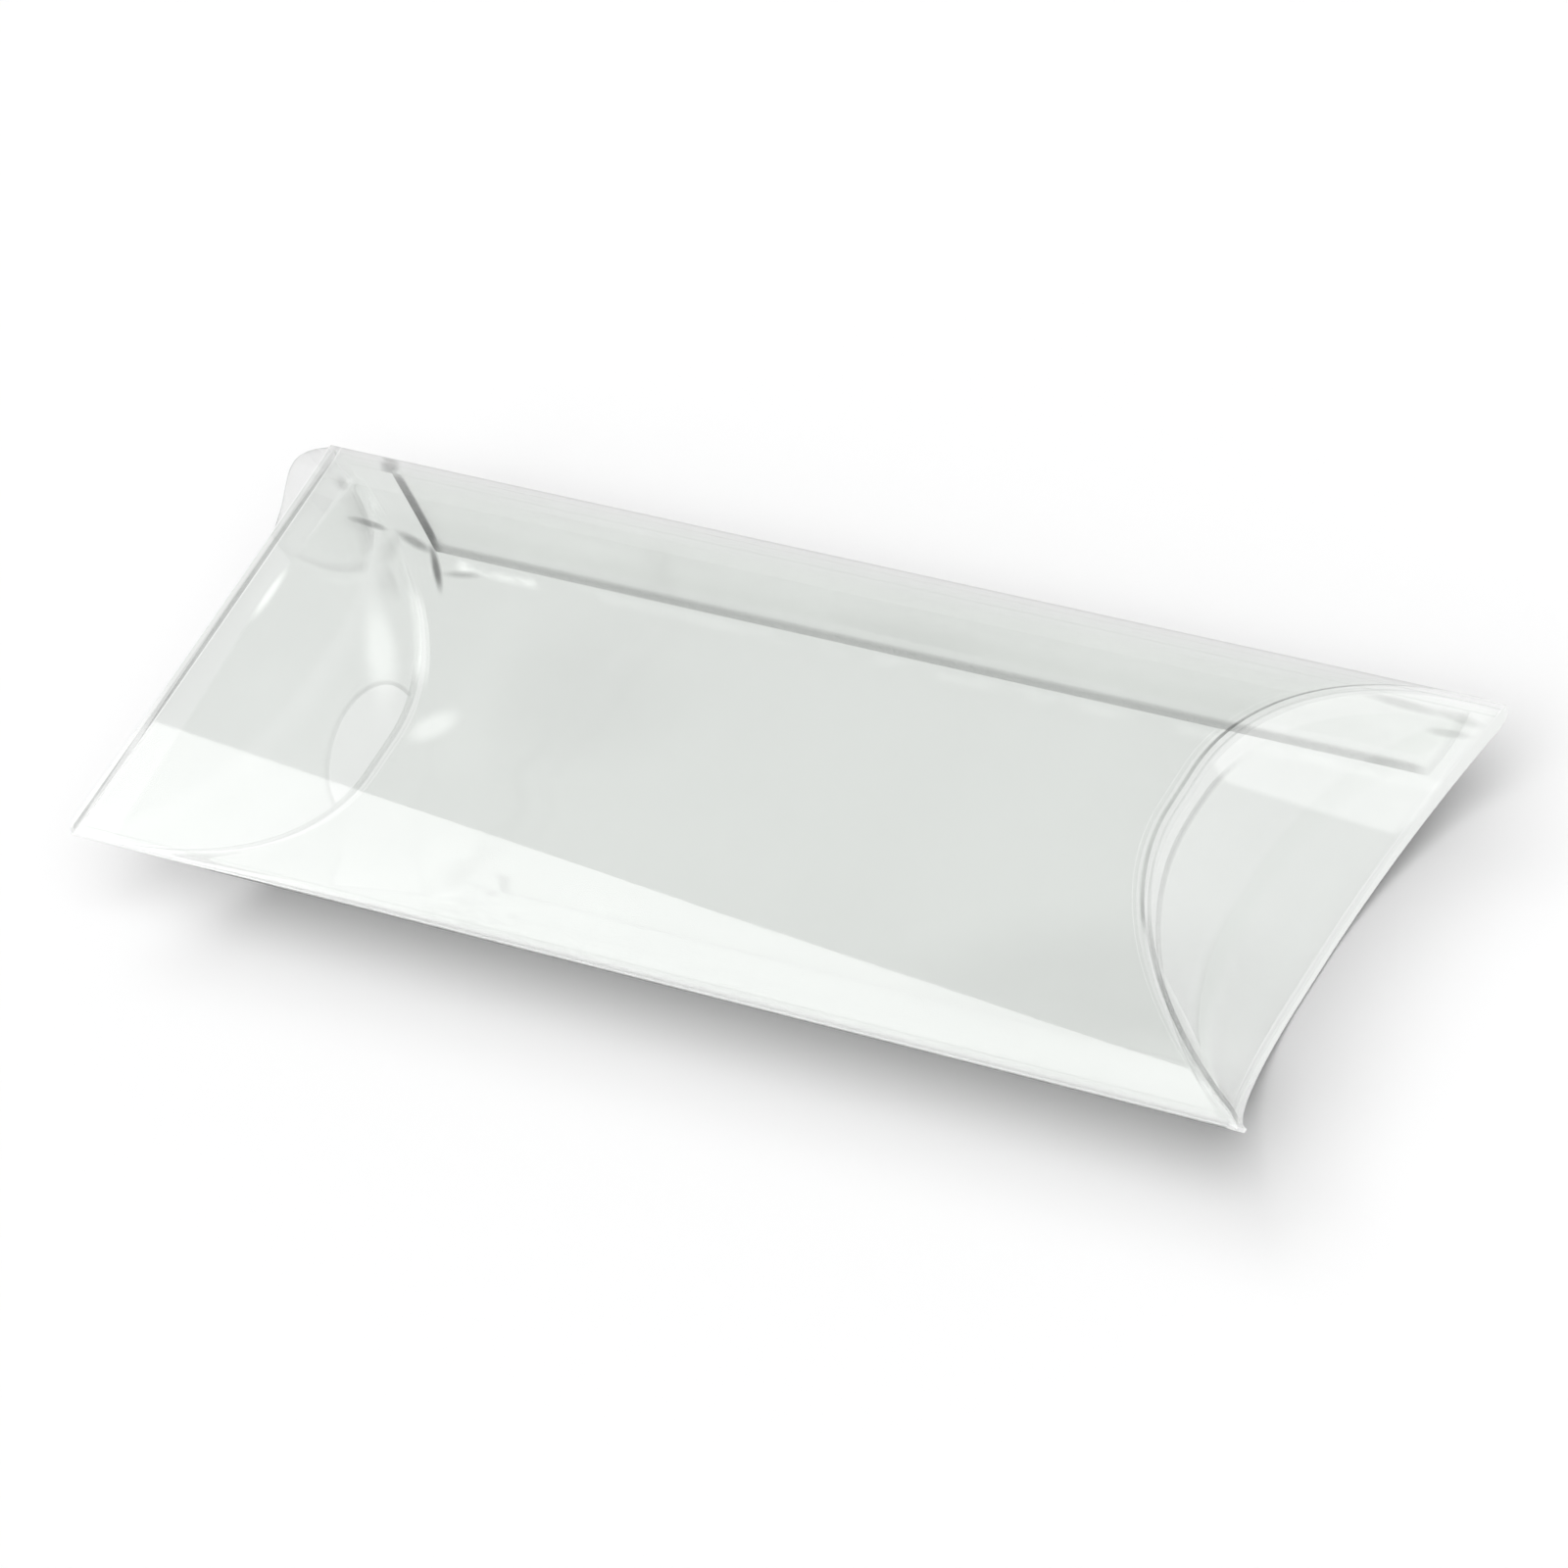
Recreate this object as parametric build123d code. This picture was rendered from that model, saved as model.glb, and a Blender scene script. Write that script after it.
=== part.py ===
from build123d import *
import os
from math import atan, sin, sqrt

# A clear pillow box: one sheet, scored, folded and glued into a bowed sleeve whose two ends
# are closed by pairs of flaps on curved creases.
# X runs along the box, Y across it with the glued fold at +Y, Z up.
# The origin is under the middle of the box, on the surface that it rests on.

# Overall form
length = 150.0             # between the rounded corner tips
width = 50.5               # between the two side folds
height = 30.0              # over the crowns of the two panels
crown_width = 4.6          # flat strip along the middle of each panel
end_depth = 16.2           # from a line through two tips to the middle of that end
tip_radius = 2.5           # rounding of the tips, seen from the front

# Sheet and folds
sheet = 0.3                # thickness of the clear sheet
bead = 0.15                # extra thickness inside a scored fold
fold_height = 1.8          # height of the strip that is bent at each side
fold_radius = 0.4          # outside rounding of each side fold
crease_reach = 1.6         # from the end crease to where its scored strip stops
crease_bevel = 0.2         # flattening of the outside corner of an end crease

# Clearances
hinge_gap = 0.1            # between a flap's strip and the piece that it swings on
lap_gap = 0.3              # between the outer and the inner flap of one end
edge_gap = 0.3             # between a flap's edge and the inside of the beads

# End flaps
inner_edge_drop = 3.5      # from the top of the box to the middle of an inner flap's edge
inner_edge_radius = 28.0   # of that edge
notch_radius = 7.0         # half-round thumb notch in the left outer flap

# Glue flap and its glue line
tab_width = 5.1            # across the box, from the back fold to the flap's free edge
tab_fold_setback = 4.8     # from the tips to the flap's ends, at the fold
tab_edge_setback = 11.3    # from the tips to the flap's ends, at its free edge
tab_shift = 1.7            # how far the flap is glued off centre, to the right
glue = 0.1                 # thickness of the glue line
glue_margin = 1.2          # bare strip round the glue line

# Sizes that follow
half_width = width / 2
half_height = height / 2
half_crown = crown_width / 2
half_fold = fold_height / 2
end_slope = end_depth / half_height
lap = sheet + lap_gap
tip_x = length / 2 + crease_bevel + tip_radius * (1 / sin(atan(1 / end_slope)) - 1)


def arch(depth, offset):
    """Area under one bowed profile: an arc, the flat crown and an arc, drawn in by offset."""
    radius = ((half_width - half_crown) ** 2 + depth**2) / (2 * depth)
    reach = half_crown + sqrt((radius - offset) ** 2 - (radius - depth) ** 2)
    top = depth - offset
    crown = Line((-half_crown, top), (half_crown, top))
    right = TangentArc((half_crown, top), (reach, 0), tangent=(1, 0))
    left = TangentArc((-half_crown, top), (-reach, 0), tangent=(-1, 0))
    base = Line((-reach, 0), (reach, 0))
    return make_face([crown, right, base, left])


def lens(offset):
    """Both profiles as one solid along the whole box, drawn in by offset."""
    upper = arch(half_height, offset)
    outline = upper + mirror(upper, about=Plane.XZ)
    start = Plane(origin=(-length, 0, 0), x_dir=(0, 1, 0), z_dir=(1, 0, 0))
    return extrude(start * outline, amount=2 * length)


def rounded_lens():
    """The outside of the sleeve, with the two side folds rounded."""
    outside = lens(0)
    side_edges = outside.edges().filter_by(Axis.X).group_by(Axis.Z)[1]
    return fillet(side_edges, fold_radius)


def sleeve(thickness):
    """The sleeve as an endless tube with this wall."""
    return rounded_lens() - lens(thickness)


def end_blocks(inset, rounding=0):
    """Everything between the slanted crease planes of both ends, moved in by inset."""
    tip = tip_x - inset
    shoulder = tip - end_slope * height
    points = [(tip, 0), (shoulder, height), (-shoulder, height)]
    points += [(-tip, 0), (-shoulder, -height), (shoulder, -height)]
    outline = make_face(Polyline(points, close=True))
    if rounding:
        tips = outline.vertices().sort_by(Axis.X)
        outline = fillet([tips[0], tips[-1]], rounding)
    return extrude(Plane.XZ * outline, amount=width, both=True)


def layer(low, high):
    """Everything between two heights."""
    block = Box(2 * length, 2 * width, high - low, align=(Align.CENTER, Align.CENTER, Align.MIN))
    return Pos(0, 0, low) * block


def end_wall(offset, thickness):
    """The upright curved wall of the right end, set in by offset."""
    start = Plane(origin=(tip_x, 0, -height), x_dir=(0, 1, 0), z_dir=(0, 0, 1))
    area = arch(end_depth, -offset - thickness) - arch(end_depth, -offset)
    return extrude(start * area, amount=2 * height)


def top_panel():
    """Upper panel, which stops short of the strips that swing with the outer flaps."""
    trimmed = sleeve(sheet) & end_blocks(crease_reach + hinge_gap)
    return trimmed & layer(half_fold, height)


def bottom_panel():
    """Lower panel, which the box rests on."""
    return sleeve(sheet) & end_blocks(crease_reach) & layer(-height, -half_fold)


def side_folds():
    """The bent strips along the front and the back, front first."""
    strips = sleeve(sheet + bead) & end_blocks(crease_reach + hinge_gap)
    strips = strips & layer(-half_fold, half_fold)
    return strips.solids().sort_by(Axis.Y)


def crease(wall_offset, low, high):
    """Scored strip on both sides of a right end crease, thicker on the inside."""
    band = end_blocks(crease_bevel, tip_radius) - end_blocks(crease_reach)
    right_half = Pos(length, 0, 0) * Box(2 * length, 2 * width, 2 * height)
    zone = band & right_half & layer(low, high)
    panel_side = sleeve(sheet + bead) & zone
    flap_side = end_wall(wall_offset, sheet + bead) & lens(0) & zone
    return panel_side + flap_side


def outer_flap():
    """Right end flap of the upper panel. It lies outside and reaches down to the lower crease."""
    flap = end_wall(0, sheet) & lens(sheet + bead + edge_gap)
    above_crease = layer(0, height) - end_blocks(crease_reach)
    return flap - above_crease


def inner_flap():
    """Right end flap of the lower panel. It lies inside, with a round free edge."""
    flap = end_wall(lap, sheet) & lens(sheet + bead + edge_gap)
    flap = flap & end_blocks(crease_reach + hinge_gap)
    edge_z = half_height - inner_edge_drop - inner_edge_radius
    edge_disc = Cylinder(inner_edge_radius, 2 * length, rotation=(0, 90, 0))
    return flap & Pos(0, 0, edge_z) * edge_disc


def cut_thumb_notch(flap):
    """Half-round notch in the middle of the left outer flap's free edge."""
    edge_z = sheet + bead + edge_gap - half_height
    return flap - Pos(-length / 2, 0, edge_z) * Cylinder(notch_radius, length, rotation=(0, 90, 0))


def tab_outline(margin):
    """Plan of the glue flap, drawn in by margin, with slanted ends."""
    edge_y = half_width - tab_width + margin
    fold_x = length / 2 - tab_fold_setback - margin
    edge_x = length / 2 - tab_edge_setback - margin
    back_y = half_width - margin
    points = [(-edge_x, edge_y), (edge_x, edge_y), (fold_x, back_y), (-fold_x, back_y)]
    outline = make_face(Polyline(points, close=True))
    return Pos(tab_shift, 0, -height) * extrude(outline, amount=height - half_fold)


def glue_flap():
    """Flap that hangs from the back fold and lies on the inside of the lower panel."""
    return (lens(sheet + glue) - lens(2 * sheet + glue)) & tab_outline(0)


def glue_line():
    """Clear glue between the glue flap and the lower panel."""
    return (lens(sheet) - lens(sheet + glue)) & tab_outline(glue_margin)


def save(shape, name):
    """Stand the piece on its resting surface and write it."""
    solids = shape.solids()
    print(name, len(solids), "solid", round(sum(s.volume for s in solids), 2), "mm3")
    piece = solids[0] if len(solids) == 1 else Compound(children=solids)
    export_step(Pos(0, 0, half_height) * piece, f"parts/{name}.step")


def save_end_pair(shape, name, left_cut=None):
    """Write a right end piece and its mirror image at the left end."""
    left = mirror(shape, about=Plane.YZ)
    save(shape, "right_" + name)
    save(left_cut(left) if left_cut else left, "left_" + name)


os.makedirs("parts", exist_ok=True)

front_fold, back_fold = side_folds()
save(top_panel(), "top_panel")
save(bottom_panel(), "bottom_panel")
save(front_fold, "front_fold")
save(back_fold, "back_fold")
save(glue_flap(), "glue_flap")
save(glue_line(), "glue_line")
save_end_pair(crease(0, hinge_gap / 2, height), "top_crease")
save_end_pair(crease(lap, -height, -hinge_gap / 2), "bottom_crease")
save_end_pair(outer_flap(), "outer_flap", cut_thumb_notch)
save_end_pair(inner_flap(), "inner_flap")
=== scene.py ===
import math

import bpy
from mathutils import Matrix, Vector


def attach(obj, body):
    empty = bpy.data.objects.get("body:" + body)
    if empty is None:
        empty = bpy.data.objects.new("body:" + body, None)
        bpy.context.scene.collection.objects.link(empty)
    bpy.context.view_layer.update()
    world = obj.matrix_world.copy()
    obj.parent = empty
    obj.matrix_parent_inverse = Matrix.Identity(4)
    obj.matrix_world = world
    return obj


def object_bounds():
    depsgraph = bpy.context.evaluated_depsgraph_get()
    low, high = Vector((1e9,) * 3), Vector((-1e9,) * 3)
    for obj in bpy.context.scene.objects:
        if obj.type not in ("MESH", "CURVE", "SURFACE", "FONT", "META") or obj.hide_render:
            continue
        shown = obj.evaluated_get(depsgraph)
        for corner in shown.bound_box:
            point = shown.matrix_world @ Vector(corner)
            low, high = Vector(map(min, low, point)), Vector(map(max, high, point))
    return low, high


# Looks, studio and camera for the clear pillow box. Metres, +Z up, the box's length along X.

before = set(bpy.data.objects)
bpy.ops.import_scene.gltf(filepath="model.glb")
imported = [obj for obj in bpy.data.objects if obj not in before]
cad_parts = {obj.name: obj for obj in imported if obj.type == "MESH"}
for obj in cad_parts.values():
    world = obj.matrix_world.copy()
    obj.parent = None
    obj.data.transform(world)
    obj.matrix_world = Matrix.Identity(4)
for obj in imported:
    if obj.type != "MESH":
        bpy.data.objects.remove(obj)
cad_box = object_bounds()

# Camera, as read from the photograph's outlines
image_side = 1600                   # pixels of the square picture
sensor_width = 36.0                 # millimetres
focal_pixels = 12091.0
view_azimuth = math.radians(59.03)
view_elevation = math.radians(41.86)
view_roll = math.radians(-34.69)
view_distance = 1.14
aim_right = 0.0018                  # from the middle of the box, in the picture's plane
aim_up = -0.00111

# Studio
white = (1.0, 1.0, 1.0)
floor_half = 3.0
floor_albedo = 0.9
floor_glow = 0.04                   # of white, so that the floor outside the shadow is white
floor_drop = 0.0001                 # under the box, so that no two faces share one plane
room_grey = 0.22                    # the room above the horizon
horizon_low = 0.10                  # sine of elevation where the white horizon starts to fade
horizon_high = 0.30
mirrored_level = 0.70               # of the floor and the horizon, as the box's outside mirrors them
lamps = {                           # strength, angle across, tilt from above, heading from +X towards +Y
    "front_lamp": (2.00, 38, 37, -29),
    "overhead_lamp": (0.52, 44, 32, -90),
    "back_lamp": (0.75, 44, 15, 150),
}
front_card_strength = 4.1
front_card_y = -0.223               # the card stands parallel to the box's front
front_card_foot = -0.027            # where its slanted edge meets the floor
front_card_slant = math.radians(39)
front_card_length = 0.75
front_card_near = -0.045            # it goes on over the floor to here
floor_card_height = 0.0003

# Box, as in the solids
middle_z = 0.015
crease_tip = 0.07637967             # the two creases of an end meet at this |x|, if not rounded
end_slope = 1.08                    # of the crease planes
crease_reach = 0.0016
fold_half = 0.0009
gap_half = 0.00005                  # between the two creases of an end, at the tips
seam_slip = 0.0002                  # how near to a seam a point counts as on it
face_slip = 0.00015                 # and to a panel's outer face
tab_shift = 0.0017
tab_edge_y = 0.02015
tab_edge_x = 0.0637                 # corner at the free edge
tab_fold_x = 0.0702                 # corner at the fold
tab_fold_y = 0.02525
notch_z = 0.00075
notch_radius = 0.007
inner_edge_radius = 0.028
inner_edge_drop = 0.0015            # its centre is this far under the floor's level
profile_radius = 0.02505686         # of the panels' arcs, seen from the end
half_crown = 0.0023

# Bulge of the back left corner, where the flap's crease stands out: place across the box and how far it stands out
bulge_profile = ((0.0050, 0.0), (0.0070, 0.0008), (0.0095, 0.0018), (0.0120, 0.0028), (0.0145, 0.0037), (0.0170, 0.0040),
                 (0.0190, 0.0036), (0.0205, 0.0025), (0.0218, 0.0012), (0.0226, 0.0003))
bulge_height = 0.0045               # from the crease down to where the bulge meets the flap
bulge_rows = 41
bulge_columns = 15

# Sheet
panel_tint = (0.874, 0.890, 0.875)
flap_tint = (0.966, 0.973, 0.967)
tab_tint = (0.985, 0.988, 0.985)
glue_tint = (0.996, 0.998, 0.995)
frost_white = (0.80, 0.82, 0.81)
frost_roughness = 0.45
flap_side_frost = 0.8               # brings a crease's panel tint to that of its flap
frost_matt = 0.06                   # share of a whitened place that is matt, not milky glass
sheet_ior = 1.5                     # of its gloss
straight_ior = 1.0005               # of its body, which is too thin to bend what is seen through it
near_pass = 0.92                    # share of lamp light that each face of an upper piece lets through
far_pass = 0.2                      # and of a lower piece, which drops the shadow
flap_pass = 0.3
edge_clearness = 0.75               # how far the clean cut edges of the flaps vanish


def new_material(name):
    material = bpy.data.materials.new(name)
    material.use_nodes = True
    tree = material.node_tree
    tree.nodes.clear()
    return material, tree


def feed(tree, value, target):
    """Link a socket to the target, or set the target to a plain value."""
    if isinstance(value, bpy.types.NodeSocket):
        tree.links.new(value, target)
    else:
        target.default_value = value


def node(tree, kind, **values):
    """A node of this kind with its inputs or properties set by name."""
    made = tree.nodes.new(kind)
    for key, value in values.items():
        if key in made.inputs:
            feed(tree, value, made.inputs[key])
        else:
            setattr(made, key, value)
    return made


def maths(tree, operation, *values):
    made = node(tree, "ShaderNodeMath", operation=operation)
    for value, target in zip(values, made.inputs):
        feed(tree, value, target)
    return made.outputs[0]


def ramp(tree, value, start, end, low=0.0, high=1.0):
    """Smooth step of the value, from low at start to high at end."""
    made = node(tree, "ShaderNodeMapRange", interpolation_type="SMOOTHSTEP")
    for key, given in (("Value", value), ("From Min", start), ("From Max", end), ("To Min", low), ("To Max", high)):
        feed(tree, given, made.inputs[key])
    return made.outputs["Result"]


def below(tree, value, limit):
    return maths(tree, "LESS_THAN", value, limit)


def above(tree, value, limit):
    return maths(tree, "GREATER_THAN", value, limit)


def mixed(tree, factor, first, second):
    made = node(tree, "ShaderNodeMixShader")
    feed(tree, factor, made.inputs[0])
    tree.links.new(first, made.inputs[1])
    tree.links.new(second, made.inputs[2])
    return made.outputs[0]


class Place:
    """Where a point of the box is, at rest, as sockets: x, y, z, its height off the middle, how far it is
    inside the nearest crease plane, whether it is on a panel's outer face, and how much its face looks along X
    and Z."""

    def __init__(self, tree):
        self.tree = tree
        coordinates = node(tree, "ShaderNodeTexCoord")
        split = node(tree, "ShaderNodeSeparateXYZ")
        tree.links.new(coordinates.outputs["Object"], split.inputs[0])
        self.point = coordinates.outputs["Object"]
        self.x, self.y, self.z = split.outputs
        self.off_middle = maths(tree, "ABSOLUTE", maths(tree, "SUBTRACT", self.z, middle_z))
        self.off_centre = maths(tree, "ABSOLUTE", self.x)
        sloped = maths(tree, "MULTIPLY", self.off_middle, end_slope)
        self.crease = maths(tree, "SUBTRACT", maths(tree, "SUBTRACT", crease_tip, self.off_centre), sloped)
        facing = node(tree, "ShaderNodeSeparateXYZ")
        tree.links.new(coordinates.outputs["Normal"], facing.inputs[0])
        self.end_facing = maths(tree, "ABSOLUTE", facing.outputs["X"])
        self.up_facing = maths(tree, "ABSOLUTE", facing.outputs["Z"])
        across = maths(tree, "MAXIMUM", maths(tree, "SUBTRACT", maths(tree, "ABSOLUTE", self.y), half_crown), 0)
        rise = maths(tree, "ADD", self.off_middle, profile_radius - middle_z)
        squares = maths(tree, "ADD", maths(tree, "MULTIPLY", across, across), maths(tree, "MULTIPLY", rise, rise))
        self.outside = above(tree, maths(tree, "SQRT", squares), profile_radius - face_slip)

    def noise(self, scale, stretch=(1, 1, 1), detail=3.0, roughness=0.55):
        """Noise of about this many features a metre, drawn out along the box by stretch."""
        tree = self.tree
        mapping = node(tree, "ShaderNodeMapping", Scale=stretch)
        tree.links.new(self.point, mapping.inputs["Vector"])
        made = node(tree, "ShaderNodeTexNoise", Scale=scale, Detail=detail, Roughness=roughness)
        tree.links.new(mapping.outputs[0], made.inputs["Vector"])
        return made.outputs["Fac"]

    def patch(self, centre, reach, turn=0.0, plane="xy"):
        """Soft oval patch, 1 in its middle and 0 outside, seen along the axis that plane leaves out."""
        tree = self.tree
        first, second = (getattr(self, axis) for axis in plane)
        a = maths(tree, "SUBTRACT", first, centre[0])
        b = maths(tree, "SUBTRACT", second, centre[1])
        along = maths(tree, "ADD", maths(tree, "MULTIPLY", a, math.cos(turn)), maths(tree, "MULTIPLY", b, math.sin(turn)))
        across = maths(tree, "SUBTRACT", maths(tree, "MULTIPLY", b, math.cos(turn)), maths(tree, "MULTIPLY", a, math.sin(turn)))
        u = maths(tree, "DIVIDE", along, reach[0])
        v = maths(tree, "DIVIDE", across, reach[1])
        far = maths(tree, "SQRT", maths(tree, "ADD", maths(tree, "MULTIPLY", u, u), maths(tree, "MULTIPLY", v, v)))
        return ramp(tree, far, 1.0, 0.25)


def add_all(tree, values):
    total = values[0]
    for value in values[1:]:
        total = maths(tree, "ADD", total, value)
    return total


def product(tree, *values):
    total = values[0]
    for value in values[1:]:
        total = maths(tree, "MULTIPLY", total, value)
    return total


def either(tree, *values):
    total = values[0]
    for value in values[1:]:
        total = maths(tree, "MAXIMUM", total, value)
    return total


def sheet_material(name, tint, lamp_pass, seams, frosts=None, shades=None, glints=None, roughness=0.02):
    """Clear sheet with its marks, among them painted shade and painted highlights. seams, frosts, shades and glints
    each take the place
    and return sockets: faces where the one real sheet runs on, whitened places, darker lines, some of them painted
    shade, and glints, which are painted highlights and reflections that glow."""
    material, tree = new_material(name)
    place = Place(tree)
    haze = place.noise(45, detail=4.0)
    marks = place.noise(420, stretch=(0.06, 1, 1), detail=2.0)
    scuffs = ramp(tree, marks, 0.66, 0.80)
    frost = [ramp(tree, haze, 0.3, 0.8, 0.004, 0.03), maths(tree, "MULTIPLY", scuffs, 0.05)]
    if frosts:
        frost += frosts(place)
    frost_share = maths(tree, "MINIMUM", add_all(tree, frost), 0.95)
    shade = [ramp(tree, place.noise(28), 0.3, 0.75, 0.0, 0.02)]
    if shades:
        shade += shades(place)
    kept = maths(tree, "SUBTRACT", 1.0, maths(tree, "MINIMUM", add_all(tree, shade), 0.95))
    bleached = node(tree, "ShaderNodeMix", data_type="VECTOR")
    feed(tree, frost_share, bleached.inputs["Factor"])
    bleached.inputs[4].default_value = tint
    bleached.inputs[5].default_value = white
    colour = node(tree, "ShaderNodeVectorMath", operation="SCALE")
    feed(tree, bleached.outputs[1], colour.inputs[0])
    feed(tree, kept, colour.inputs["Scale"])
    frosty = maths(tree, "MULTIPLY", frost_share, frost_roughness)
    worn = add_all(tree, [ramp(tree, haze, 0.3, 0.8, roughness, roughness + 0.03), maths(tree, "MULTIPLY", scuffs, 0.10), frosty])
    waves = node(tree, "ShaderNodeBump", Strength=1.0, Distance=0.00002)
    feed(tree, place.noise(70, stretch=(0.5, 1, 1), detail=1.0), waves.inputs["Height"])
    shell = node(tree, "ShaderNodeBsdfPrincipled", IOR=straight_ior, Roughness=0.0)
    shell.inputs["Transmission Weight"].default_value = 1
    shell.inputs["Coat IOR"].default_value = sheet_ior
    feed(tree, colour.outputs[0], shell.inputs["Base Color"])
    under_fold = product(tree, below(tree, place.z, middle_z), ramp(tree, place.off_middle, 0.0045, 0.0015))
    feed(tree, maths(tree, "SUBTRACT", 1.0, under_fold), shell.inputs["Coat Weight"])
    feed(tree, worn, shell.inputs["Coat Roughness"])
    feed(tree, waves.outputs[0], shell.inputs["Coat Normal"])
    matt = node(tree, "ShaderNodeBsdfDiffuse", Color=(*frost_white, 1))
    milky = node(tree, "ShaderNodeBsdfTranslucent", Color=(*frost_white, 1))
    frosted = mixed(tree, 0.5, matt.outputs[0], milky.outputs[0])
    look = mixed(tree, maths(tree, "MULTIPLY", frost_share, frost_matt), shell.outputs[0], frosted)
    # Painted highlights and reflections: the glints glow as light of their own.
    if glints:
        glow = node(tree, "ShaderNodeEmission", Strength=add_all(tree, glints(place)))
        both = node(tree, "ShaderNodeAddShader")
        tree.links.new(look, both.inputs[0])
        tree.links.new(glow.outputs[0], both.inputs[1])
        look = both.outputs[0]
    running_on = node(tree, "ShaderNodeBsdfTransparent")
    look = mixed(tree, seams(place), look, running_on.outputs[0])
    finish(tree, look, lamp_pass)
    return material


def finish(tree, look, lamp_pass):
    """Let part of the lamps' light through to what is behind, and end the material."""
    passing = node(tree, "ShaderNodeBsdfTransparent", Color=(lamp_pass, lamp_pass, lamp_pass, 1))
    rays = node(tree, "ShaderNodeLightPath")
    out = node(tree, "ShaderNodeOutputMaterial")
    tree.links.new(mixed(tree, rays.outputs["Is Shadow Ray"], look, passing.outputs[0]), out.inputs["Surface"])


def slanted(place):
    """1 on the faces that lie in a crease plane, such as where a panel ends at a crease strip."""
    return product(place.tree, above(place.tree, place.end_facing, 0.3), above(place.tree, place.up_facing, 0.3))


def level(place):
    return above(place.tree, place.up_facing, 0.97)


def panel_seams(place):
    side = product(place.tree, level(place), below(place.tree, place.off_middle, fold_half + seam_slip))
    return either(place.tree, slanted(place), side)


def fold_seams(place):
    side = product(place.tree, level(place), above(place.tree, place.off_middle, fold_half - seam_slip))
    return either(place.tree, slanted(place), side)


def crease_seams(place):
    inner = product(place.tree, slanted(place), above(place.tree, place.crease, crease_reach - seam_slip))
    tips = product(place.tree, level(place), below(place.tree, place.off_middle, gap_half + seam_slip))
    return either(place.tree, inner, tips)


def flap_seams(place):
    """Where the flap runs on into its crease, and nearly all of its clean cut edges."""
    edges = below(place.tree, place.end_facing, 0.2)
    return either(place.tree, slanted(place), maths(place.tree, "MULTIPLY", edges, edge_clearness))


def tab_seams(place):
    return product(place.tree, level(place), above(place.tree, place.z, middle_z - fold_half - seam_slip))


def fold_frost(place):
    """White stress line along the rounding of a side fold."""
    tree = place.tree
    line = ramp(tree, place.off_middle, 0.0005, 0.0002)
    return [product(tree, line, ramp(tree, place.noise(160, stretch=(0.15, 1, 1)), 0.3, 0.6, 0.7, 1.0))]


def crease_frost(place):
    """White stress line, partly a painted highlight, on the ridge of an end crease, on the flap's side and near the
    front tip on the panel's.
    The flap's side is also as light as the flap that it runs on into."""
    tree = place.tree
    flap_side = ramp(tree, place.end_facing, 0.2, 0.4)
    front_tip = ramp(tree, place.y, -0.012, -0.015)
    side = maths(tree, "ABSOLUTE", maths(tree, "SUBTRACT", flap_side, front_tip))
    line = ramp(tree, place.crease, 0.0009, 0.0004, 0.05, 1.0)
    # The stress line stands partly for a painted highlight along the crease's bend.
    stress = product(tree, side, line, ramp(tree, place.noise(300), 0.3, 0.7, 0.7, 1.0))
    return [either(tree, stress, maths(tree, "MULTIPLY", flap_side, flap_side_frost))]


def crease_shade(place):
    """Painted shade: grey line along the scored groove beside the ridge of an upper end crease, which changes sides
    near the front tip.
    """
    tree = place.tree
    panel_side = product(tree, ramp(tree, place.end_facing, 0.4, 0.2), place.outside, above(tree, place.z, middle_z))
    flap_side = product(tree, ramp(tree, place.end_facing, 0.2, 0.4), above(tree, place.z, middle_z))
    front_tip = ramp(tree, place.y, -0.012, -0.015)
    line = ramp(tree, place.crease, 0.0008, 0.0005)
    strong = ramp(tree, maths(tree, "ABSOLUTE", maths(tree, "ADD", place.y, 0.003)), 0.005, 0.011, 0.45, 0.75)
    broken = ramp(tree, place.noise(260), 0.35, 0.65, 0.7, 1.0)
    back_part = product(tree, panel_side, maths(tree, "SUBTRACT", 1.0, front_tip))
    front_part = product(tree, flap_side, front_tip, 0.6)
    return [product(tree, add_all(tree, [back_part, front_part]), line, strong, broken)]


def left_top_crease_shade(place):
    """Painted shade: broad grey line inside the ridge of the upper left crease, strongest near the front tip."""
    tree = place.tree
    panel_side = ramp(tree, place.end_facing, 0.4, 0.2)
    line = product(tree, ramp(tree, place.crease, 0.0006, 0.0009), ramp(tree, place.crease, 0.0016, 0.0014))
    return [product(tree, panel_side, line, ramp(tree, place.y, -0.022, -0.010, 0.5, 0.28), ramp(tree, place.noise(260), 0.35, 0.65, 0.8, 1.0))]


def flap_frost(place):
    """Faint whitening that fades away from the creases."""
    return [ramp(place.tree, place.crease, 0.0055, 0.0016, 0.0, 0.25)]


def left_inner_painted_highlights(place):
    """Painted highlights: a glowing spot above the thumb notch and a bright stretch of the cut edge."""
    highlight_spot = maths(place.tree, "MULTIPLY", place.patch((0.0072, 0.0086), (0.0070, 0.0036), 0.95, "yz"), 0.09)
    edge_highlight = maths(place.tree, "MULTIPLY", place.patch((0.0005, 0.0262), (0.0045, 0.0008), 0.0, "yz"), 0.18)
    return [highlight_spot, edge_highlight]


def right_outer_painted_reflection(place):
    """Painted reflection: a faint glow on the upper part of the right end, with a slanted lower edge."""
    tree = place.tree
    over = maths(tree, "ADD", place.z, maths(tree, "MULTIPLY", place.y, 1.93))
    low = ramp(tree, over, 0.0330, 0.0345)
    side = ramp(tree, place.y, 0.0038, 0.0046)
    foot = ramp(tree, place.z, 0.0045, 0.0060)
    return [maths(tree, "MULTIPLY", product(tree, low, side, foot), ramp(tree, place.noise(120), 0.3, 0.7, 0.045, 0.055))]


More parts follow.
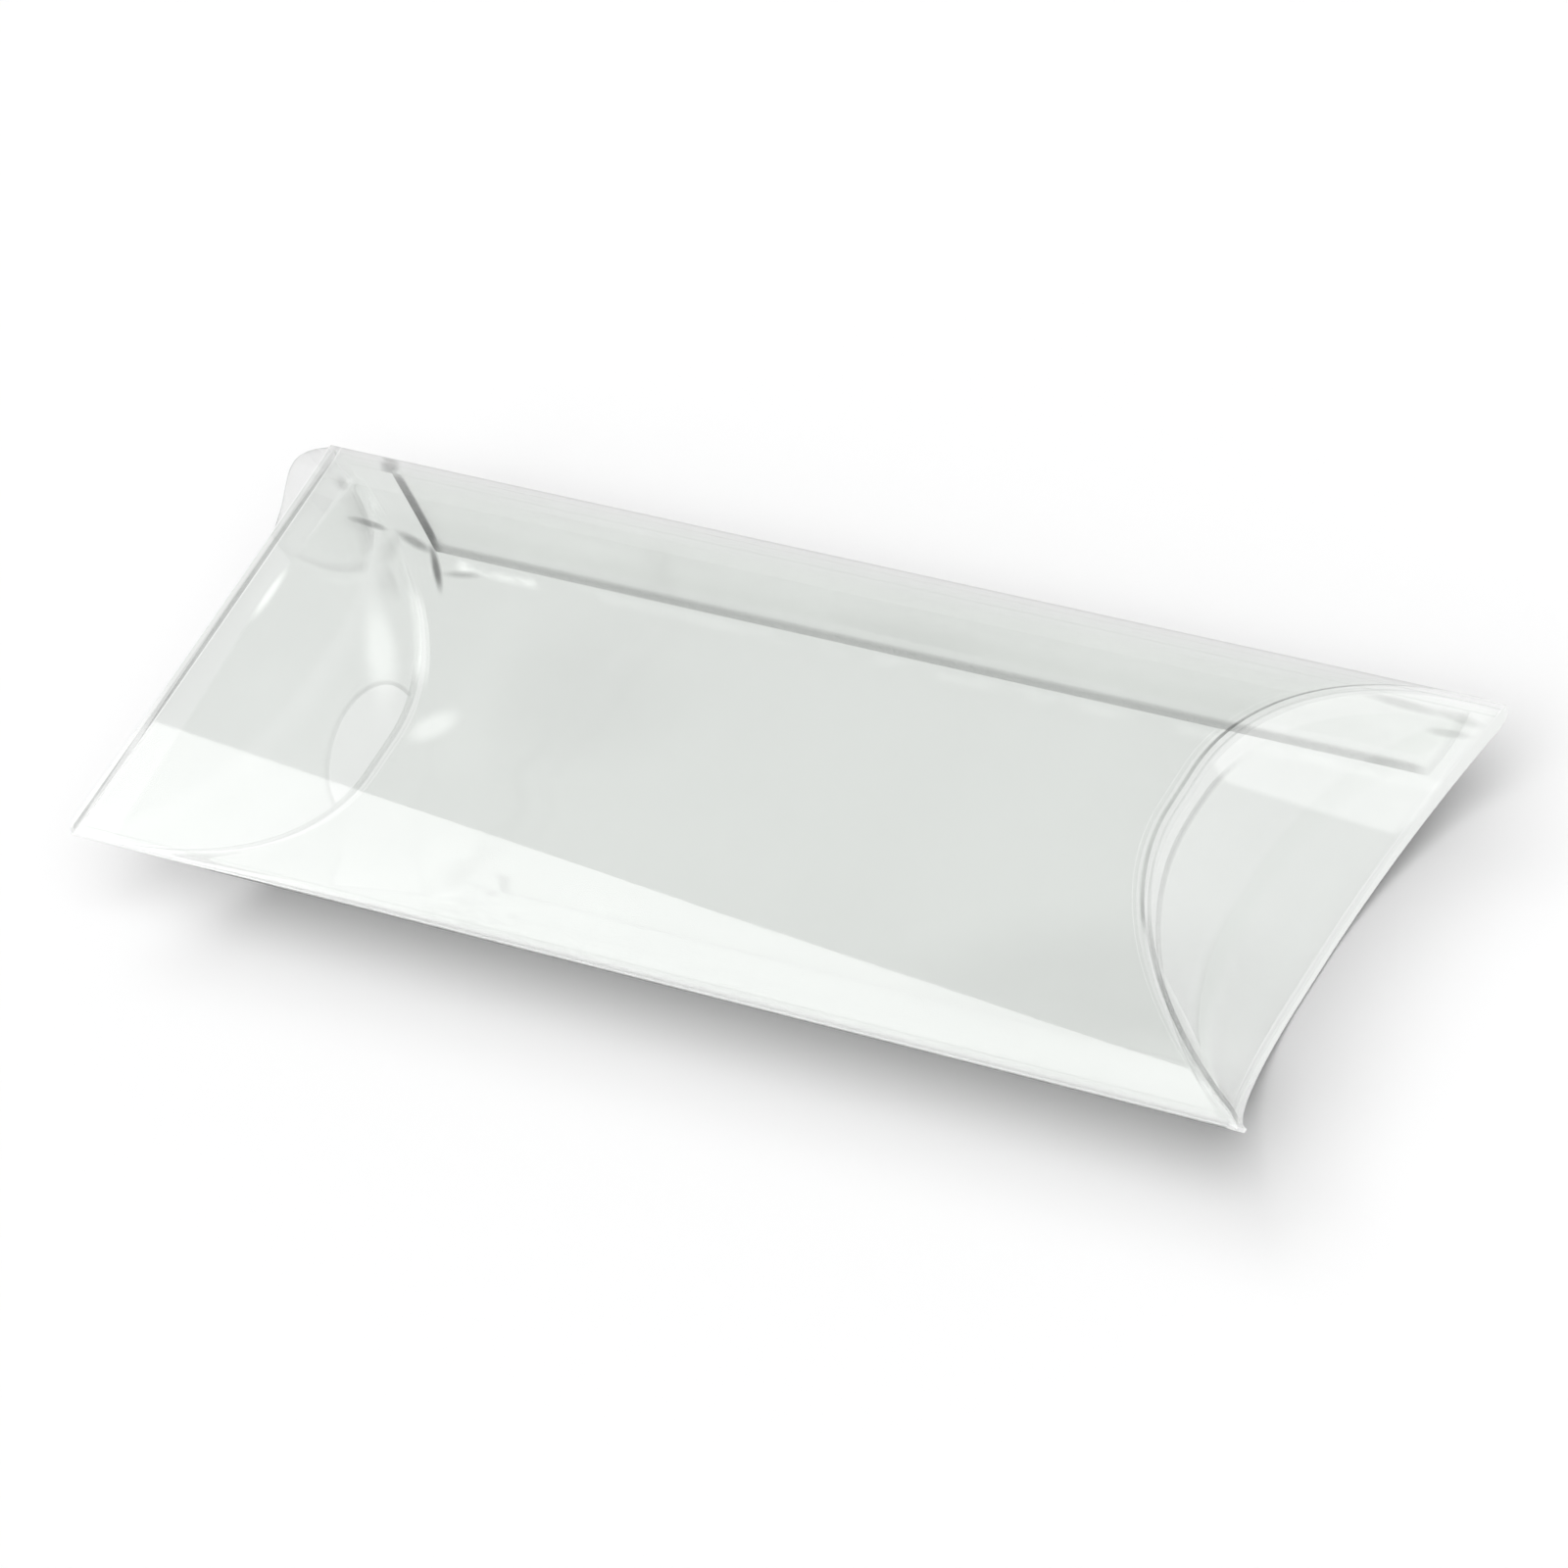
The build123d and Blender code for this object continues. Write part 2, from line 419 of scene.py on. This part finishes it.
def right_outer_shade(place):
    """Painted shade along wrinkles in the bent back corner of the right end."""
    long = maths(place.tree, "MULTIPLY", place.patch((0.0204, 0.0193), (0.0056, 0.0006), -1.085, "yz"), 0.20)
    short = maths(place.tree, "MULTIPLY", place.patch((0.0217, 0.0138), (0.0023, 0.0006), -0.99, "yz"), 0.20)
    last = maths(place.tree, "MULTIPLY", place.patch((0.0228, 0.0150), (0.0028, 0.0006), -1.22, "yz"), 0.16)
    return [long, short, last]


def notch_shade(place):
    """Painted shade: grey line round the cut edge of the thumb notch."""
    tree = place.tree
    up = maths(tree, "SUBTRACT", place.z, notch_z)
    far = maths(tree, "SQRT", maths(tree, "ADD", maths(tree, "MULTIPLY", up, up), maths(tree, "MULTIPLY", place.y, place.y)))
    near_line = ramp(tree, far, notch_radius + 0.0006, notch_radius + 0.0002)
    return [product(tree, near_line, ramp(tree, place.y, -0.005, 0.002, 0.10, 0.20))]


def inner_edge_shade(place):
    """Painted shade: faint grey line along the round free edge of the right inner flap."""
    tree = place.tree
    up = maths(tree, "ADD", place.z, inner_edge_drop)
    far = maths(tree, "SQRT", maths(tree, "ADD", maths(tree, "MULTIPLY", up, up), maths(tree, "MULTIPLY", place.y, place.y)))
    line = ramp(tree, far, inner_edge_radius - 0.0007, inner_edge_radius - 0.0003)
    return [product(tree, line, ramp(tree, place.y, 0.008, 0.003, 0.0, 0.30))]


def left_crease_painted_highlight(place):
    """Painted highlight: a glowing bright stretch of the lower left crease."""
    tree = place.tree
    return [maths(tree, "MULTIPLY", product(tree, ramp(tree, place.y, 0.008, 0.011), ramp(tree, place.y, 0.0175, 0.0155)), 0.16)]


def bottom_painted_highlights(place):
    """Painted highlights beside the glue flap's free edge and on a spot next to the left end."""
    tree = place.tree
    beside = product(tree, ramp(tree, place.y, 0.0190, 0.0196), below(tree, place.y, tab_edge_y - 0.0001))
    bits = ramp(tree, place.noise(330, stretch=(0.4, 1, 1)), 0.42, 0.58)
    started = ramp(tree, place.x, -0.0600, -0.0580)
    seam_highlight = product(tree, beside, bits, started, ramp(tree, place.x, -0.047, -0.042, 0.20, 0.03))
    highlight_spot = maths(tree, "MULTIPLY", place.patch((-0.0562, 0.0048), (0.004, 0.0022), 0.6), 0.10)
    return [seam_highlight, highlight_spot]


def bottom_shade(place):
    """Dark lines that run on from the corner of the glue flap, one of them a painted reflection of the flap's free
    edge, and soft darker places.
    """
    tree = place.tree
    run_on = maths(tree, "MULTIPLY", place.patch((-0.0620, 0.0190), (0.0024, 0.0007), -1.05), 0.75)
    tail = maths(tree, "MULTIPLY", place.patch((-0.0586, 0.0190), (0.0034, 0.0003), 0.10), 0.35)
    # Painted reflection: the line of the glue flap's free edge as the left end mirrors it.
    seam_reflection = maths(tree, "MULTIPLY", place.patch((-0.0652, 0.0206), (0.0034, 0.0005), -0.15), 0.5)
    low_right = maths(tree, "MULTIPLY", place.patch((0.040, -0.006), (0.032, 0.012), 0.2), 0.08)
    left = maths(tree, "MULTIPLY", place.patch((-0.040, 0.011), (0.018, 0.009), 0.0), 0.04)
    return [run_on, tail, seam_reflection, low_right, left]


def left_inner_seam_reflection(place):
    """Painted reflection: dark line of the glue flap's free edge, mirrored in the left end, that runs across it to the
    corner of the glue flap.
    """
    return [maths(place.tree, "MULTIPLY", place.patch((0.0170, 0.0158), (0.0066, 0.0005), -1.06, "yz"), 0.5)]


def tab_distance(place):
    """How far a point of the glue flap is from its free edge or its slanted ends."""
    tree = place.tree
    along, across = tab_fold_x - tab_edge_x, tab_fold_y - tab_edge_y
    slant = math.hypot(along, across)
    beyond = maths(tree, "SUBTRACT", maths(tree, "ABSOLUTE", maths(tree, "SUBTRACT", place.x, tab_shift)), tab_edge_x)
    inwards = maths(tree, "SUBTRACT", place.y, tab_edge_y)
    end = maths(tree, "SUBTRACT", maths(tree, "MULTIPLY", inwards, along / slant), maths(tree, "MULTIPLY", beyond, across / slant))
    return maths(tree, "MINIMUM", inwards, end)


def tab_shade(place):
    """Painted shade: grey line along the cut edges of the glue flap, darkest at its left end."""
    tree = place.tree
    dark = ramp(tree, place.x, -0.0625, -0.0605, 0.8, 0.36)
    faded = ramp(tree, place.x, 0.0635, 0.0655, 1.0, 0.25)
    edge = ramp(tree, tab_distance(place), 0.0006, 0.00035)
    left_end = product(tree, ramp(tree, tab_distance(place), 0.0010, 0.0006), ramp(tree, place.x, -0.0605, -0.0625))
    return [product(tree, either(tree, edge, left_end), dark, faded)]


def fold_shade(place):
    """Dark spot where the glue flap's left end starts."""
    spot = place.patch((-0.0677, middle_z - 0.0003), (0.0016, 0.0014), 0.0, "xz")
    return [product(place.tree, spot, above(place.tree, place.y, 0), 0.9)]


def bulge_seams(place):
    """The bulge has no seams."""
    return below(place.tree, place.y, 0)


def bulge_frost(place):
    """Whitened streaks in the crumpled corner."""
    return [ramp(place.tree, place.noise(110, stretch=(0.5, 1, 0.4), detail=1.0), 0.4, 0.65, 0.1, 0.8)]


def bulge_shade(place):
    """Grey folds in the crumpled corner."""
    return [ramp(place.tree, place.noise(100, stretch=(1, 0.6, 0.5), detail=1.0), 0.45, 0.7, 0.03, 0.14)]


def glue_material():
    """Thin clear glue, which is seen only by its tint and its milky streaks."""
    material, tree = new_material("clear_glue")
    place = Place(tree)
    streaks = ramp(tree, place.noise(150, stretch=(0.2, 1, 1), detail=4.0), 0.45, 0.75, 0.0, 0.05)
    through = node(tree, "ShaderNodeBsdfTransparent", Color=(*glue_tint, 1))
    milky = node(tree, "ShaderNodeBsdfDiffuse", Color=(*frost_white, 1))
    finish(tree, mixed(tree, streaks, through.outputs[0], milky.outputs[0]), near_pass)
    return material


def dress_nodes():
    """Give every piece of the box its look."""
    panel = sheet_material("clear_panel", panel_tint, near_pass, panel_seams)
    bottom = sheet_material("clear_bottom", panel_tint, far_pass, panel_seams, None, bottom_shade, bottom_painted_highlights)
    fold = sheet_material("scored_fold", panel_tint, flap_pass, fold_seams, fold_frost, fold_shade, roughness=0.06)
    scored = (panel_tint, flap_pass, crease_seams, crease_frost, crease_shade)
    crease = sheet_material("scored_crease", *scored, roughness=0.06)
    far_crease = sheet_material("scored_far_crease", *scored[:4], left_top_crease_shade, roughness=0.06)
    left_crease = sheet_material("scored_left_crease", *scored, left_crease_painted_highlight, roughness=0.06)
    # The right outer flap carries a painted reflection and painted shade along wrinkles.
    bright = sheet_material("clear_bright_flap", flap_tint, flap_pass, flap_seams, flap_frost, right_outer_shade,
                            right_outer_painted_reflection)
    edged = sheet_material("clear_edged_flap", flap_tint, flap_pass, flap_seams, flap_frost, inner_edge_shade)
    notched = sheet_material("clear_notched_flap", flap_tint, flap_pass, flap_seams, flap_frost, notch_shade)
    # The left inner flap carries painted highlights and a painted reflection.
    highlighted = sheet_material("clear_highlighted_flap", flap_tint, flap_pass, flap_seams, flap_frost, left_inner_seam_reflection, left_inner_painted_highlights)
    tab = sheet_material("clear_glue_flap", tab_tint, near_pass, tab_seams, None, tab_shade)
    looks = {
        "top_panel": panel, "bottom_panel": bottom, "front_fold": fold, "back_fold": fold,
        "glue_flap": tab, "glue_line": glue_material(),
        "right_top_crease": crease, "left_top_crease": far_crease,
        "right_bottom_crease": crease, "left_bottom_crease": left_crease,
        "right_outer_flap": bright, "left_outer_flap": notched,
        "right_inner_flap": edged, "left_inner_flap": highlighted,
    }
    for name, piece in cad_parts.items():
        for slot in piece.material_slots:
            slot.material = looks[name]


def bulge_reach(y):
    """How far the bulge stands out at this place, drawn smoothly through the profile."""
    for (low, first), (high, second) in zip(bulge_profile, bulge_profile[1:]):
        if low <= y <= high:
            return first + (second - first) * (y - low) / (high - low)
    return 0.0


def make_bulge():
    """Blister in the left outer flap under its crease, by the back corner."""
    start, end = bulge_profile[0][0], bulge_profile[-1][0]
    step = (end - start) / (bulge_rows - 1)
    points, faces = [], []
    for row in range(bulge_rows):
        y = start + row * step
        reach = sum(bulge_reach(y + shift * step) for shift in (-2, -1, 0, 1, 2)) / 5
        across = max(y - half_crown, 0.0)
        rise = math.sqrt(profile_radius ** 2 - across ** 2) - (profile_radius - middle_z)
        for column in range(bulge_columns):
            down = column / (bulge_columns - 1)
            out = math.sin(math.pi * down ** 0.45)
            x = end_slope * rise - crease_tip - 0.00005 - reach * out
            points.append((x, y, middle_z + rise - 0.0001 - bulge_height * down))
    for row in range(bulge_rows - 1):
        for column in range(bulge_columns - 1):
            a = row * bulge_columns + column
            faces.append((a, a + 1, a + bulge_columns + 1, a + bulge_columns))
    mesh = bpy.data.meshes.new("left_corner_bulge")
    mesh.from_pydata(points, [], faces)
    mesh.polygons.foreach_set("use_smooth", [True] * len(faces))
    mesh.materials.append(sheet_material("crumpled_sheet", flap_tint, flap_pass, bulge_seams, bulge_frost, bulge_shade))
    bulge = bpy.data.objects.new("left_corner_bulge", mesh)
    bpy.context.collection.objects.link(bulge)
    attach(bulge, "left_outer")


def flat_mesh(name, corners, material):
    """A flat stage piece through these corners."""
    mesh = bpy.data.meshes.new(name)
    mesh.from_pydata(corners, [], [tuple(range(len(corners)))])
    mesh.materials.append(material)
    made = bpy.data.objects.new(name, mesh)
    bpy.context.collection.objects.link(made)
    return made


def seen_through_sheet(tree):
    """1 for what is seen through clear sheet, and 0 for other rays, such as light that falls on the floor."""
    rays = node(tree, "ShaderNodeLightPath")
    direct = below(tree, rays.outputs["Diffuse Depth"], 0.5)
    return product(tree, rays.outputs["Is Transmission Ray"], direct)


def mirrored_loss(tree):
    """The share that first reflections lose, and 0 for other rays."""
    rays = node(tree, "ShaderNodeLightPath")
    return maths(tree, "MULTIPLY", rays.outputs["Is Glossy Ray"], 1 - mirrored_level)


def make_floor():
    """White floor. What is seen through the box is plain white, and elsewhere it takes shadow."""
    material, tree = new_material("floor_white")
    diffuse = node(tree, "ShaderNodeBsdfDiffuse", Color=(floor_albedo, floor_albedo, floor_albedo, 1))
    glow = node(tree, "ShaderNodeEmission", Strength=floor_glow)
    lit = node(tree, "ShaderNodeAddShader")
    plain = node(tree, "ShaderNodeEmission", Strength=1.0)
    out = node(tree, "ShaderNodeOutputMaterial")
    tree.links.new(diffuse.outputs[0], lit.inputs[0])
    tree.links.new(glow.outputs[0], lit.inputs[1])
    unlit = node(tree, "ShaderNodeEmission", Strength=0.0)
    dimmed = mixed(tree, mirrored_loss(tree), lit.outputs[0], unlit.outputs[0])
    look = mixed(tree, seen_through_sheet(tree), dimmed, plain.outputs[0])
    tree.links.new(look, out.inputs["Surface"])
    far, z = floor_half, -floor_drop
    flat_mesh("floor", [(-far, -far, z), (far, -far, z), (far, far, z), (-far, far, z)], material)


def make_world():
    """White backdrop for the camera, also through the box. Other rays meet a white horizon under a grey room."""
    world = bpy.data.worlds.new("studio")
    world.use_nodes = True
    tree = world.node_tree
    tree.nodes.clear()
    place = node(tree, "ShaderNodeTexCoord")
    split = node(tree, "ShaderNodeSeparateXYZ")
    tree.links.new(place.outputs["Generated"], split.inputs[0])
    room = node(tree, "ShaderNodeBackground")
    horizon = maths(tree, "SUBTRACT", 1.0, mirrored_loss(tree))
    feed(tree, ramp(tree, split.outputs["Z"], horizon_low, horizon_high, horizon, room_grey), room.inputs["Strength"])
    backdrop = node(tree, "ShaderNodeBackground", Color=(*white, 1))
    rays = node(tree, "ShaderNodeLightPath")
    seen = either(tree, rays.outputs["Is Camera Ray"], seen_through_sheet(tree))
    out = node(tree, "ShaderNodeOutputWorld")
    tree.links.new(mixed(tree, seen, room.outputs[0], backdrop.outputs[0]), out.inputs["Surface"])
    bpy.context.scene.world = world


def make_lamps():
    """Three soft lamps, whose shadow hugs the box."""
    for name, (strength, across, tilt, heading) in lamps.items():
        data = bpy.data.lights.new(name, "SUN")
        data.energy = strength
        data.angle = math.radians(across)
        lamp = bpy.data.objects.new(name, data)
        level = math.sin(math.radians(tilt))
        turn = math.radians(heading)
        towards = Vector((level * math.cos(turn), level * math.sin(turn), math.cos(math.radians(tilt))))
        lamp.rotation_mode = "QUATERNION"
        lamp.rotation_quaternion = towards.to_track_quat("Z", "Y")
        lamp.visible_glossy = False
        lamp.visible_transmission = False
        bpy.context.collection.objects.link(lamp)


def card_material(name, strength):
    material, tree = new_material(name)
    rays = node(tree, "ShaderNodeLightPath")
    direct = below(tree, rays.outputs["Diffuse Depth"], 0.5)
    glow = node(tree, "ShaderNodeEmission", Strength=maths(tree, "MULTIPLY", direct, strength))
    out = node(tree, "ShaderNodeOutputMaterial")
    tree.links.new(glow.outputs[0], out.inputs["Surface"])
    return material


def hide_card(card):
    """Only first reflections show the card, and it lights nothing."""
    card.visible_camera = False
    card.visible_diffuse = False
    card.visible_transmission = False
    card.visible_shadow = False


def make_cards():
    """Bright card in front of the box with a slanted top edge, and one on the floor before it."""
    reach = front_card_length * math.cos(front_card_slant)
    rise = front_card_length * math.sin(front_card_slant)
    foot, y = front_card_foot, front_card_y
    corners = [(foot, y, 0), (foot - reach, y, rise), (foot - reach, y, 0)]
    light = card_material("front_card_light", front_card_strength)
    hide_card(flat_mesh("front_card", corners, light))
    near, z = front_card_near, floor_card_height
    corners = [(foot - reach, y, z), (0.05, y, z), (0.05, near, z), (foot - reach, near, z)]
    hide_card(flat_mesh("front_floor_card", corners, light))


def make_camera():
    """Camera at the photograph's viewing angle, rolled as the photograph is."""
    level = math.cos(view_elevation)
    back = Vector((math.sin(view_azimuth) * level, -math.cos(view_azimuth) * level, math.sin(view_elevation)))
    flat_right = Vector((0, 0, 1)).cross(back).normalized()
    flat_up = back.cross(flat_right)
    right = math.cos(view_roll) * flat_right + math.sin(view_roll) * flat_up
    up = back.cross(right)
    low, high = cad_box
    middle = (low + high) / 2
    place = middle + aim_right * right + aim_up * up + view_distance * back
    data = bpy.data.cameras.new("camera")
    data.lens = focal_pixels / image_side * sensor_width
    data.sensor_width = sensor_width
    data.clip_start = 0.01
    data.clip_end = 20
    camera = bpy.data.objects.new("camera", data)
    turn = Matrix((right, up, back)).transposed().to_4x4()
    camera.matrix_world = Matrix.Translation(place) @ turn
    bpy.context.collection.objects.link(camera)
    bpy.context.scene.camera = camera


bpy.context.scene.view_settings.view_transform = "Standard"
make_camera()
make_world()
make_lamps()
make_cards()
make_floor()
dress_nodes()
make_bulge()
